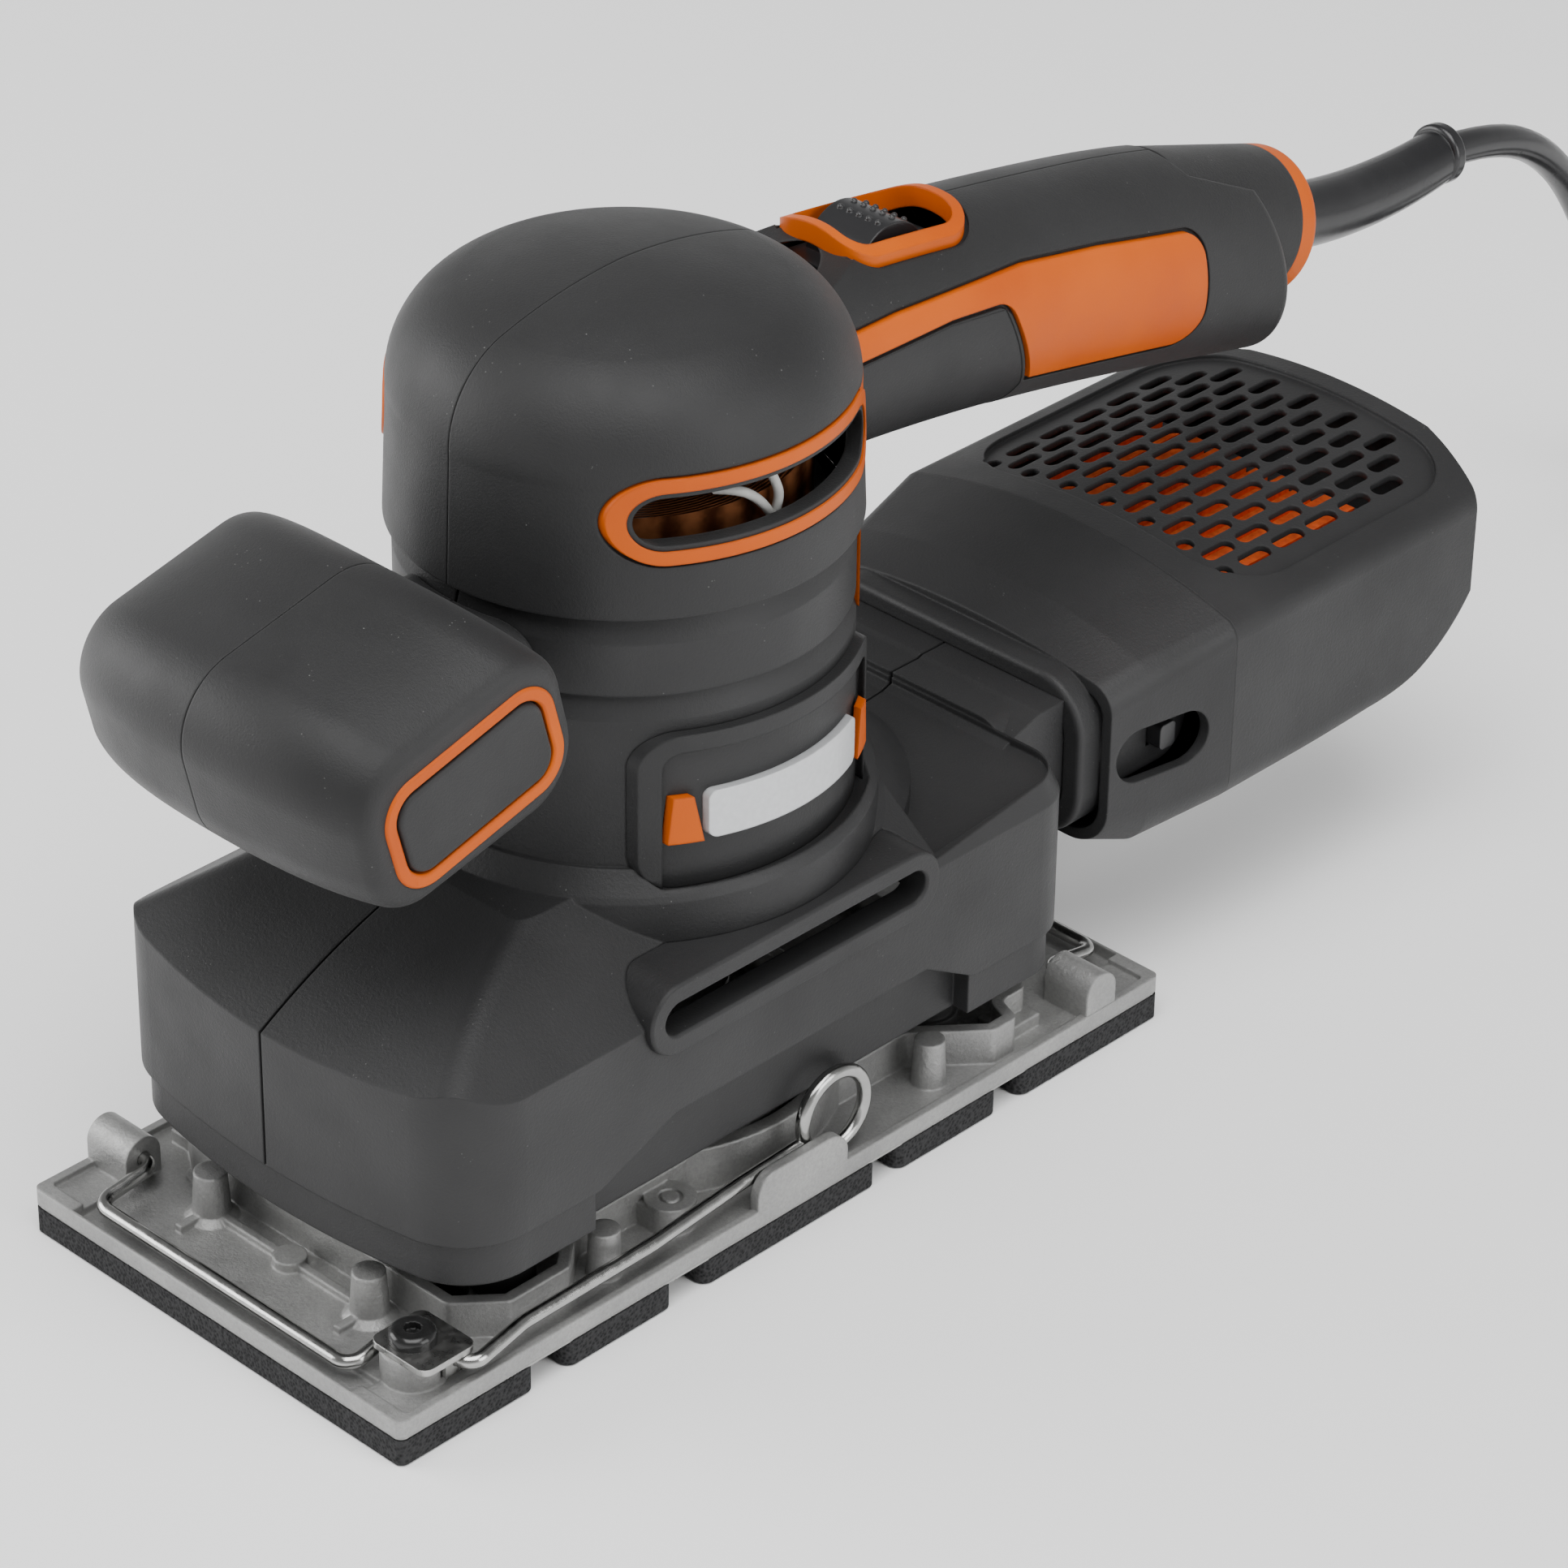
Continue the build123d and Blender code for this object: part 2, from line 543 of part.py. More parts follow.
CORD_ROUTE = [(0, 221.5, 115.0), (0, 238, 113.2), (-1, 257, 102.5), (-2.5, 273, 84.0), (-4, 285, 62.0),
              (-5.5, 296, 42.5), (-7.5, 307, 24.0), (-10.5, 322, 13.5), (-12.5, 340, 9.75)]
COIL_X, COIL_Y = 34.0, 340.0
COIL_INNER, COIL_OUTER, COIL_HEIGHT = 23.8, 54.0, 13.0
TAIL_ROUTE = [(-19, 340, 3.3), (-19, 358, 3.3), (-15, 375, 5.2), (-7, 390, 7.4)]


def corner_radii(points):
    """Largest tangent arcs that the straight runs allow."""
    radii = []
    for before, here, after in zip(points, points[1:], points[2:]):
        run_in, run_out = Vector(*here) - Vector(*before), Vector(*after) - Vector(*here)
        turn = radians(run_in.get_angle(run_out))
        radii.append(0.45 * min(run_in.length, run_out.length) / tan(turn / 2))
    return radii


def cord_tube(name, points):
    radii = corner_radii(points)
    print(name, "radii", [round(r, 1) for r in radii])
    path = FilletPolyline(*points, radius=radii)
    section = Plane(points[0], z_dir=Vector(*points[1]) - Vector(*points[0])) * Circle(CORD_R)
    tube_solid = sweep(section, path=path)
    expected = 3.14159265 * CORD_R ** 2 * path.length
    print(name, "length", round(path.length, 1), "volume ratio", round(tube_solid.volume / expected, 4))
    return tube_solid


def coil_ring():
    """Outer shape of the put-away coil: two layers of turns lying flat."""
    r0, r1, top = COIL_INNER, COIL_OUTER, COIL_HEIGHT
    outline = Polygon((r0, 0), (r1, 0), (r1, top - 5.0), (r1 - 4.0, top), (r0, top), align=None)
    outline = fillet(outline.vertices(), 2.0)
    return Pos(COIL_X, COIL_Y, 0) * revolve(Plane.XZ * outline, Axis.Z)


def mains_plug():
    """Two-pin flat plug lying on its broad side, its cord end at the tail's last point."""
    end = Vector(*TAIL_ROUTE[-1])
    along = Vector(end.X - TAIL_ROUTE[-2][0], end.Y - TAIL_ROUTE[-2][1], 0).normalized()
    across = Vector(along.Y, -along.X, 0)

    def station(distance):
        return Plane(Vector(end.X, end.Y, end.Z) + along * distance, x_dir=across, z_dir=along)

    neck = loft([station(0) * Circle(5.0), station(14) * RectangleRounded(17, 11, 5.0)])
    body = loft([station(14) * RectangleRounded(17, 11, 5.0), station(27) * RectangleRounded(35, 14, 6.6)])
    body += extrude(station(27) * RectangleRounded(35, 14, 6.6), 12)
    face = body.faces().sort_by(lambda f: f.center().dot(along))[-1]
    body = fillet(face.edges(), 1.2)
    pins = [extrude(station(39) * Pos(x, 0) * Circle(2.4), 19) for x in (-9.3, 9.3)]
    return neck + body + pins[0] + pins[1]


def add_cord():
    lead = cord_tube("cord_lead", CORD_ROUTE)
    tail = cord_tube("cord_tail", TAIL_ROUTE)
    add("cord_lead", lead)
    add("cord_tail", tail)
    add("cord_coil", coil_ring() - lead - tail)
    add("mains_plug", mains_plug() - tail)


# ---- dust box -----------------------------------------------------------------------------------
def box_section(y, half, z_low, z_shoulder, z_crown, radius):
    """Dust-box cross-section: flat floor, straight sides, gently crowned lid."""
    edges = [
        Line((-half, z_low), (half, z_low)),
        Line((half, z_low), (half, z_shoulder)),
        ThreePointArc((half, z_shoulder), (0, z_crown), (-half, z_shoulder)),
        Line((-half, z_shoulder), (-half, z_low)),
    ]
    face = make_face(edges)
    low = [v for v in face.vertices() if v.Y < z_low + 0.01]
    face = fillet(low, radius)
    high = [v for v in face.vertices() if abs(v.Y - z_shoulder) < 0.01]
    face = fillet(high, radius * 0.6)
    return Plane((0, y, 0), x_dir=(1, 0, 0), z_dir=(0, -1, 0)) * face


def container_solid(inset=0.0):
    """Rear part of the dust box, rounded up behind."""
    half = BOX_HALF - inset
    start = BOX_SEAM_Y + (inset and -1.0)
    end = BOX_END_Y - inset
    shape = extrude(box_section(start, half, BOX_FLOOR + inset, 69.8 - inset, 76.4 - inset, 7 - inset),
                    -(end - start))
    side = [
        Line((start - 1, BOX_FLOOR + inset), (158, 35.6 + inset)),
        ThreePointArc((158, 35.6 + inset), (180 - inset, 43.4 + inset * 0.7), (end - 3.0, 60.0)),
        Line((end - 3.0, 60.0), (end, 72)),
        Line((end, 72), (end + 4, 90)),
        Line((end + 4, 90), (start - 1, 90)),
        Line((start - 1, 90), (start - 1, BOX_FLOOR + inset)),
    ]
    shape &= from_side(make_face(side), -60, 60)
    plan = [
        Line((-60, 0), (60, 0)),
        Line((60, 0), (60, end - 8)),
        Line((60, end - 8), (half, end - 8)),
        ThreePointArc((half, end - 8), (0, end + 3.0), (-half, end - 8)),
        Line((-half, end - 8), (-60, end - 8)),
        Line((-60, end - 8), (-60, 0)),
    ]
    return shape & from_top(make_face(plan), 0, 120)


def grille_slots():
    """Staggered rounded slots through the lid, along Y, that start as a row of short ones."""
    cuts = []
    pitch_x, pitch_y = 4.75, 9.5
    for col in range(-6, 7):
        x = col * pitch_x
        spots = [(131.25 + pitch_y * row, 8.0) for row in range(6)]
        if col % 2 == 0:
            spots = [(127.5, 3.8)] + [(136.0 + pitch_y * row, 8.0) for row in range(6 if abs(col) < 6 else 5)]
        for y, length in spots:
            cuts.append(Pos(x, y, 66) * extrude(Rot(0, 0, 90) * SlotOverall(length, 3.1), 14))
    return cuts


def add_dust_container():
    shell = container_solid() - container_solid(2.0)
    sunk = Pos(0, 156.6, 0) * from_top(RectangleRounded(70.0, 66.0, 14), 0, 120)
    lid_top = container_solid() - container_solid(0.9)
    shell -= lid_top & sunk & block(-60, 60, 118, 191, 66, 90)
    for cut in grille_slots():
        shell -= cut
    add("dust_container", shell)


def box_front_solid(inset=0.0):
    mid = box_section(98, 37.7 - inset, 28.8 + inset, 66.7 - inset, 72.6 - inset, 9 - inset)
    back = box_section(BOX_SEAM_Y - 0.01, BOX_HALF - inset, BOX_FLOOR + inset, 69.8 - inset, 76.4 - inset,
                       7 - inset)
    front = box_section(89, 36.0 - inset, 32.0 + inset, 65.0 - inset, 68.6 - inset, 9 - inset)
    return loft([front, mid, back], ruled=True)


def add_dust_front():
    shell = box_front_solid() - box_front_solid(2.2)
    shell -= block(-30, 30, 80, 96, 37.5, 62.5)
    collar_out = Plane((0, 84, 50.4), x_dir=(1, 0, 0), z_dir=(0, 1, 0)) * RectangleRounded(66.5, 33, 11)
    collar_in = Plane((0, 80, 50.0), x_dir=(1, 0, 0), z_dir=(0, 1, 0)) * RectangleRounded(58.6, 26.6, 8.3)
    collar = fillet(extrude(collar_out, 8).edges().sort_by(Axis.Y)[0:8], 1.2)
    sleeve = Plane((0, 84, 50.0), x_dir=(1, 0, 0), z_dir=(0, 1, 0)) * RectangleRounded(63, 31, 10)
    shell += collar + extrude(sleeve, 15)
    shell -= extrude(collar_in, 40)
    grip = stadium_side(LATCH_Y - 3.6, LATCH_Z, 21, 11)
    pocket = from_side(grip, 33.0, 60)
    shell -= pocket + mirrored(pocket)
    wall = from_side(stadium_side(LATCH_Y - 3.6, LATCH_Z, 24, 14), 31.2, 33.0) & block(0, 60, 90, 114, 40, 70)
    shell += wall + mirrored(wall)
    hole = from_side(Pos(LATCH_Y, LATCH_Z) * Rectangle(4.4, 5.4), 28, 40)
    add("dust_box_front", shell - hole - mirrored(hole))
    button = from_side(Pos(LATCH_Y, LATCH_Z) * RectangleRounded(4.1, 5.1, 1.0), 29.2, 36.2)
    button += from_side(Pos(LATCH_Y, LATCH_Z) * RectangleRounded(5.9, 7.4, 1.0), 29.2, 31.0)
    add_pair("latch_button", button)


def add_filter():
    outline = RectangleRounded(66, 54, 5)
    frame = from_top(Pos(0, 150) * outline, 60.0, 62.5)
    frame -= from_top(Pos(0, 150) * RectangleRounded(59, 47, 3), 50, 70)
    shell = container_solid(2.05)
    add("filter_frame", frame & shell)
    panel = from_top(Pos(0, 150) * RectangleRounded(58.9, 46.9, 3), 60.2, 62.2)
    for i in range(11):
        x = -26.5 + 5.3 * i
        panel += block(x - 1.0, x + 1.0, 127, 173, 62.2, 65.2)
    add("dust_filter", panel)


# ---- motor and drive ----------------------------------------------------------------------------
def ring_z(z0, z1, r_in, r_out):
    return tube(0, AXIS_Y, z0, z1, r_in, r_out)


def add_motor():
    core = ring_z(98, 126, 23.6, 34.0)
    core -= block(-9, 9, -60, 60, 90, 140) & ring_z(90, 140, 20, 30)
    add("stator_core", core)
    coil = (ring_z(88, 97.9, 24.5, 31.5) + ring_z(126.1, 138, 24.5, 31.5))
    add("field_windings", coil - block(-6, 6, -60, 60, 80, 140))
    shaft = ring_z(46, 160, 0, 3.95) + ring_z(74.6, 160, 0, 3.95)
    laminations = ring_z(100, 124, 3.95, 22.8)
    laminations -= Compound([Pos(0, AXIS_Y, 0) * Rot(0, 0, 30 * k) * block(19.6, 24, -1.2, 1.2, 99, 125)
                             for k in range(12)])
    add("armature", shaft + laminations)
    segments = ring_z(142, 153, 4.0, 11.5)
    segments -= Compound([Pos(0, AXIS_Y, 0) * Rot(0, 0, 15 * k) * block(9.8, 13, -0.2, 0.2, 141, 154)
                          for k in range(24)])
    add("commutator", segments)
    hub = ring_z(80, 85.5, 4.0, 8.0) + ring_z(80, 81.6, 8.0, 33.0)
    blade = block(13, 32.5, -0.7, 0.7, 81.6, 86.6)
    for k in range(15):
        hub += Pos(0, AXIS_Y, 0) * Rot(0, 0, 24 * k) * blade
    add("cooling_fan", hub)
    brush = block(11.6, 20, AXIS_Y - 3, AXIS_Y + 3, 144.5, 150.5)
    add_both("carbon_brushes", brush)
    holder = block(12.4, 27.5, AXIS_Y - 4.4, AXIS_Y + 4.4, 143, 152)
    holder -= block(10, 22.5, AXIS_Y - 3, AXIS_Y + 3, 144.5, 150.5)
    add_both("brush_holders", holder)


def add_bearings():
    add("upper_bearing", ring_z(154.0, 159.5, 4.0, 9.5))
    add("lower_bearing", ring_z(66.0, 75.0, 4.0, 13.0))
    carrier = ring_z(64, 66, 6.0, 36.0) + ring_z(66, 75, 13.0, 16.0)
    add("bearing_plate", carrier)
    top_plate = ring_z(159.5, 161.5, 5.0, 16.0) + ring_z(154.0, 159.5, 9.5, 12.5)
    add("upper_bearing_seat", top_plate & dome_solid(3.0))


def add_eccentric():
    """Counterweighted hub whose lower pin stands off the motor axis by the orbit."""
    body = ring_z(44, 62, 3.95, 11.0)
    weight = tube(0, AXIS_Y, 47, 57, 8.0, 26.0) & block(-40, 40, -60, AXIS_Y - 5, 40, 60)
    pin = rod(0, PLATEN_AXIS_Y, 18, 44, 6.0)
    head = rod(0, PLATEN_AXIS_Y, 36, 44, 9.0)
    web = ring_z(44, 46, 0, 11.0)
    add("eccentric_hub", body + weight + pin + head + web)


# ---- pad and platen -----------------------------------------------------------------------------
def dust_holes(z0, z1, r):
    return Compound([rod(x, y, z0, z1, r) for x in (-23, 23) for y in (-63, -36, 42, 64)])


def pad_notches():
    """Dust channels cut in from both long edges of the foam."""
    cuts = []
    for y, width in ((-59.6, 7.0), (-27.4, 7.0), (21.6, 5.0), (53.2, 5.6)):
        for side in (-1, 1):
            cuts.append(block(side * 46.5 - 9, side * 46.5 + 9, y - width / 2, y + width / 2, -1, FOAM_TOP + 1))
    return cuts


def add_pad():
    foam = from_top(RectangleRounded(PAD_WIDTH, PAD_LENGTH, 1.5), 0, FOAM_TOP)
    for cut in pad_notches():
        foam -= cut
    edges = [e for e in foam.edges().filter_by(Axis.Z) if abs(e.center().Y) < 70 and abs(e.center().X) > 45]
    foam = fillet(edges, 2.2)
    add("foam_pad", foam - dust_holes(-1, 10, 5.0))
    sheet = from_top(RectangleRounded(PAD_WIDTH - 0.4, PAD_LENGTH - 0.4, 1.5), FOAM_TOP, SHEET_TOP)
    add("backing_plate", sheet - dust_holes(0, 10, 5.0))


def tapered_peg(x, y, z0, z1, r0, r1):
    return Pos(x, y, (z0 + z1) / 2) * Cone(r0, r1, z1 - z0)


def end_features():
    """Castings at the front end; the rear end has the same, half a turn round."""
    shape = cross_rod(-46.4, -36.0, CLAMP_AXIS_Y, CLAMP_AXIS_Z + 0.4, 3.8)
    shape += block(-46.4, -36.0, CLAMP_AXIS_Y - 3.8, CLAMP_AXIS_Y + 3.8, SHEET_TOP + 1, CLAMP_AXIS_Z + 0.4)
    for x in (-20.0, 20.0):
        shape += tapered_peg(x, -76.0, FLOOR_TOP, 16.8, 3.5, 2.9)
        shape += tapered_peg(x, -76.0, FLOOR_TOP, FLOOR_TOP + 1.2, 4.8, 3.4)
        shape += block(x - 0.8, x + 0.8, -83.5, -76.0, FLOOR_TOP, FLOOR_TOP + 1.3)
    shape += block(-20.0, 20.0, -76.8, -75.2, FLOOR_TOP, FLOOR_TOP + 1.3)
    shape += rod(0, -76.0, FLOOR_TOP, FLOOR_TOP + 1.8, 3.0)
    shape += rod(-29.5, -70.0, FLOOR_TOP, FLOOR_TOP + 0.6, 2.8)
    boss = rod(36.8, -81.6, FLOOR_TOP, BRACKET_Z, 5.6) - block(28, 50, -79.0, -70, 10.4, 14)
    boss -= block(30, 32.4, -90, -70, 9.6, 14)
    shape += boss - block(40.8, 50, -80.6, -70, 9.2, 14)
    shape += tapered_peg(39.0, -40.0, FLOOR_TOP, 16.8, 3.2, 2.7)
    shape += tapered_peg(39.0, 40.0, FLOOR_TOP, 16.8, 3.2, 2.7)
    shape += rod(36.6, -22.0, FLOOR_TOP, 13.0, 4.6) + block(30, 36.6, -26.6, -17.4, FLOOR_TOP, 12.2)
    shape -= tube(36.6, -22.0, 12.6, 14, 1.6, 2.2)
    shape += block(34.2, 41, 58, 67, FLOOR_TOP, 10.4)
    shape += catch_tab()
    return shape


def catch_tab():
    """Upright tongue on the long edge that the clamp lever hooks behind."""
    outline = Pos(0.4, 10.5) * Rectangle(22.0, 9.8)
    top = [v for v in outline.vertices() if v.Y > 12]
    return from_side(fillet(top, 4.4), 44.5, 46.5)


def dust_wall():
    """Low cast wall round the dust channels, the same after half a turn."""
    side = [(34, -71.5), (41, -63.5), (41, -50), (35, -43), (33, -40), (33, 40), (43.5, 52), (43.5, 58),
            (38, 60), (38, 66), (30, 71.5)]
    outline = Polygon(*side, *[(-x, -y) for x, y in side], align=None)
    outer = fillet(outline.vertices(), 1.8)
    return from_top(outer - offset(outer, -2.2), FLOOR_TOP, 15.0)


def clamp_groove():
    return block(-36.5, 34.5, -93.0, -87.2, SHEET_TOP + 0.9, 20)


def clamp_bores():
    bore = cross_rod(-44.0, -35.0, CLAMP_AXIS_Y, CLAMP_AXIS_Z, WIRE_R + RUN_FIT)
    return bore


def add_platen():
    plate = from_top(RectangleRounded(PAD_WIDTH, PAD_LENGTH, 1.5), SHEET_TOP, FLOOR_TOP)
    rim = from_top(RectangleRounded(PAD_WIDTH, PAD_LENGTH, 1.5), SHEET_TOP, RIM_TOP)
    rim -= from_top(RectangleRounded(PAD_WIDTH - 3.2, PAD_LENGTH - 5.6, 1.0), 0, 20)
    casting = plate + rim + dust_wall() + end_features() + turned_half(end_features())
    well = Pos(0, PLATEN_AXIS_Y, 0)
    casting += well * (Pos(0, 0, 12) * Cylinder(38.0, 9) - Pos(0, 0, 15) * Cylinder(35.2, 9))
    casting &= block(-46.5, 46.5, -93.5, 93.5, 0, 60)
    casting += rod(0, PLATEN_AXIS_Y, SHEET_TOP, 30, 17.4)
    for k in range(8):
        rib = Pos(0, PLATEN_AXIS_Y, 0) * Rot(0, 0, 22.5 + 45 * k) * block(15, 36.5, -1.1, 1.1, FLOOR_TOP, 14.5)
        casting += rib
    for x in (-13.0, 13.0):
        casting += block(x - 1, x + 1, -66, -30, FLOOR_TOP, 12.4) + block(x - 1, x + 1, 38, 68, FLOOR_TOP, 12.4)
    casting -= rod(0, PLATEN_AXIS_Y, 20.9, 31, 14.0) + rod(0, PLATEN_AXIS_Y, 12, 25, 7.5)
    casting -= clamp_groove() + turned_half(clamp_groove())
    casting -= clamp_bores() + turned_half(clamp_bores())
    casting -= dust_holes(0, 30, 5.0)
    screw_hole = rod(36.8, -81.6, 6.4, 14, 1.7)
    casting -= screw_hole + turned_half(screw_hole)
    add("platen", casting)
    add("platen_bearing", tube(0, PLATEN_AXIS_Y, 21.0, 29.0, 6.0 + RUN_FIT, 14.0))


def clamp_bracket():
    """Small folded plate, screwed down, that holds the wire's lever end."""
    plate = block(31.4, 45.0, -86.6, -74.6, BRACKET_Z, BRACKET_Z + 1.2)
    plate = fillet(plate.edges().filter_by(Axis.Z), 2.0)
    lug = block(41.0, 43.4, -80.4, -74.6, 9.4, BRACKET_Z)
    lug -= cross_rod(30, 50, CLAMP_AXIS_Y, CLAMP_AXIS_Z, WIRE_R + RUN_FIT)
    return plate + lug - rod(36.8, -81.6, 5, 20, 1.75)


def clamp_screw():
    top = BRACKET_Z + 1.2
    head = rod(36.8, -81.6, top, top + 2.5, 4.1)
    head = fillet(head.faces().sort_by(Axis.Z)[-1].edges(), 1.3)
    star = RegularPolygon(1.6, 6) + Rot(0, 0, 30) * RegularPolygon(1.6, 6)
    socket = Pos(36.8, -81.6, top + 1.1) * extrude(star, 3)
    return head - socket + rod(36.8, -81.6, 7.0, top, 1.65)


def clamp_wire():
    """Spring-wire sheet clamp: hinge end, clamping bar, second hinge and a lever ending in a ring."""
    y, z = CLAMP_AXIS_Y, CLAMP_AXIS_Z
    bar_z = 10.0
    points = [(-43.5, y, z), (-33.2, y, z), (-33.6, -90.0, bar_z), (30.6, -90.0, bar_z), (29.8, y, z),
              (46.4, y, z), (44.5, -64.0, 12.9), (44.4, -34.0, 13.2), (42.9, -12.0, 13.5), (42.9, 4.0, 14.2)]
    radii = [2.4, 3.0, 3.0, 2.4, 2.6, 12.0, 20.0, 20.0]
    path = FilletPolyline(*points, radius=radii)
    section = Plane(points[0], z_dir=(1, 0, 0)) * Circle(WIRE_R)
    wire = sweep(section, path=path)
    ring = Pos(42.9, 11.4, 17.4) * Rot(0, 90, 0) * Torus(7.7, WIRE_R)
    return wire + ring


def add_clamps():
    bracket = clamp_bracket()
    add("clamp_brackets", Compound([bracket, turned_half(bracket)]))
    screw = clamp_screw()
    add("clamp_screws", Compound([screw, turned_half(screw)]))
    wire = clamp_wire()
    add("front_clamp_wire", wire)
    add("rear_clamp_wire", turned_half(wire))


def add_legs():
    legs = []
    for x, y in leg_seats():
        leg = rod(x, y, FLOOR_TOP, 48, 5.6)
        leg -= tube(x, y, 14, 42, 4.6, 9)
        legs.append(leg)
    add("rubber_legs", Compound(legs))


def add_screws():
    spots = low_screw_spots() + [(y, handle_line(y)) for y in HANDLE_SCREWS_Y]
    add("housing_screws", Compound([cross_rod(-11.8, 9.5, y, z, 1.55) for y, z in spots]))


# ---- build --------------------------------------------------------------------------------------
TRIM = air_trim()
add_pad()
add_platen()
add_clamps()
add_legs()
add_motor()
add_bearings()
add_eccentric()
add_housing(TRIM)
add_side_slot_frames()
add_dust_skirt()
add_badge()
add_dome(TRIM)
add_pair("air_slot_trim", TRIM)
add_knob()
add_handle(TRIM)
add_switch()
add_end_cap()
add_strain_relief()
add_cord()
add_dust_container()
add_dust_front()
add_filter()
add_screws()

for node, shape in PARTS.items():
    export_step(shape, f"parts/{node}.step")
print(len(PARTS), "parts")
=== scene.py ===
import json
from math import cos, pi, radians, sin

import bpy
from mathutils import Matrix, Vector


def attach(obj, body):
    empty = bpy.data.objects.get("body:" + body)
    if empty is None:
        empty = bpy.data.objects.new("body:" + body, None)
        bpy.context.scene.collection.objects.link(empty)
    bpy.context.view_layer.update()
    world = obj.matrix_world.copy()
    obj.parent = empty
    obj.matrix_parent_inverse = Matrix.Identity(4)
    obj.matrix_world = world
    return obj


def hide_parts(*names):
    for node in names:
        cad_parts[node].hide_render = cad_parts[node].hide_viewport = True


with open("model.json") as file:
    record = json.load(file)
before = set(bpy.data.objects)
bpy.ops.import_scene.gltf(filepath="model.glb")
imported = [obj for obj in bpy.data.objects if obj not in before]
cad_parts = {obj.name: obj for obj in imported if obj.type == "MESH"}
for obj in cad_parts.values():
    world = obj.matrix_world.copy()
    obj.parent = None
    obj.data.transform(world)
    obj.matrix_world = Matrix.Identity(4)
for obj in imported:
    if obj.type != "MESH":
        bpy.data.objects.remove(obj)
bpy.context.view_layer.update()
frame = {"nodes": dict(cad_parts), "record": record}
NODES = frame["nodes"]

MM = 0.001
MACHINE = "machine"             # the body of the housing, the handle and the cord

# ---- camera: the photograph's view ----
VIEW_AZIMUTH, VIEW_ELEVATION, VIEW_ROLL = radians(43.847), radians(31.781), radians(0.789)
CAMERA_PLACE = (0.601248, -0.583339, 0.588972)
LENS_MM = 132.2
CLIP_START = 0.05

# ---- mains cord, the same route as the CAD solids, in mm ----
CORD_DIAMETER = 6.5 * MM
LEAD_ROUTE = [(0, 221.5, 115.0), (0, 238, 113.2), (-1, 257, 102.5), (-2.5, 273, 84.0), (-4, 285, 62.0),
              (-5.5, 296, 42.5), (-7.5, 307, 24.0), (-10.5, 322, 13.5)]
TAIL_ROUTE = [(-19, 358, 3.3), (-15, 375, 5.2), (-7, 390, 7.4)]
COIL_CENTRE = (34.0, 340.0)
COIL_TURNS_IN, COIL_TURNS_OUT = 3, 4
COIL_START_R, COIL_PITCH = 46.5, 6.5
COIL_UPPER_Z, COIL_LOWER_Z = 9.8, 3.3
COIL_DROP_TURNS = 1 / 3         # part of a turn in which the cord goes down a layer
POINTS_PER_TURN = 16

# ---- the two field leads that show in the right air slot, in mm ----
LEAD_DIAMETER = 1.7 * MM
FIELD_LEADS = [
    [(28.6, -4.5, 140.3), (32.4, -2.6, 141.0), (33.4, 0.7, 138.6), (33.5, 3.4, 135.2), (33.3, 6.6, 130.0),
     (33.0, 8.0, 126.5)],
    [(26.0, 3.0, 143.0), (31.0, 4.4, 143.4), (33.2, 5.0, 140.2), (33.5, 5.8, 137.4), (33.5, 4.8, 134.6),
     (33.2, 3.4, 126.5)],
]

# ---- curves ----
SPLINE_ORDER = 3
SPLINE_STEPS = 6

# ---- studio ----
SKY_LOW, SKY_HIGH = 0.9, 0.28   # strength at the horizon, and from SKY_TOP upwards
SKY_TOP = 0.55
FLOOR_SIZE = 8.0
FLOOR_Z = -0.0003               # just under the pad, so the two faces never fight
LIGHTS = [
    # name, place, target, size, watts
    ("overhead", (0.35, -0.35, 1.7), (0, 0.05, 0.0), (1.5, 1.5), 42.0),
    ("left_bank", (-1.1, -0.75, 0.55), (0, 0, 0.08), (1.0, 0.8), 16.0),
    ("right_bank", (1.2, 0.25, 0.6), (0, 0.05, 0.08), (0.8, 0.8), 9.0),
]

# ---- colours, linear RGB ----
SOFT_BLACK = (0.0145, 0.0145, 0.0149)
HOUSING_BLACK = (0.0205, 0.0205, 0.021)
RUBBER_BLACK = (0.016, 0.016, 0.016)
INNER_GREY = (0.05, 0.05, 0.052)
DUST_GREY = (0.30, 0.30, 0.29)
ORANGES = ((0.46, 0.071, 0.0), (0.53, 0.092, 0.0))
SILVERS = ((0.50, 0.51, 0.52), (0.62, 0.63, 0.64))
CASTINGS = ((0.30, 0.30, 0.297), (0.40, 0.40, 0.392))
CASTING_PITS = (0.16, 0.16, 0.158)
STEELS = ((0.33, 0.33, 0.32), (0.48, 0.48, 0.47))
SCREW_BLACKS = ((0.012, 0.012, 0.012), (0.03, 0.03, 0.03))
# dark foam is painted shade in the cell hollows, light foam the cell walls
FOAM_PORE_SHADE_TO_WALL = ((0.008, 0.008, 0.0085), (0.034, 0.034, 0.035))
GLOSSY_BLACKS = ((0.010, 0.010, 0.011), (0.018, 0.018, 0.019))
# dark copper is painted shade for the grooves between turns, light copper a painted highlight for their crests
COPPER_SHADE_TO_HIGHLIGHT = ((0.10, 0.03, 0.012), (0.50, 0.18, 0.07))
FILTER_REDS = ((0.70, 0.075, 0.010), (0.95, 0.15, 0.02))
SLEEVE_WHITES = ((0.42, 0.42, 0.40), (0.66, 0.66, 0.64))
FLOOR_WHITES = ((0.93, 0.93, 0.93), (0.95, 0.95, 0.95))


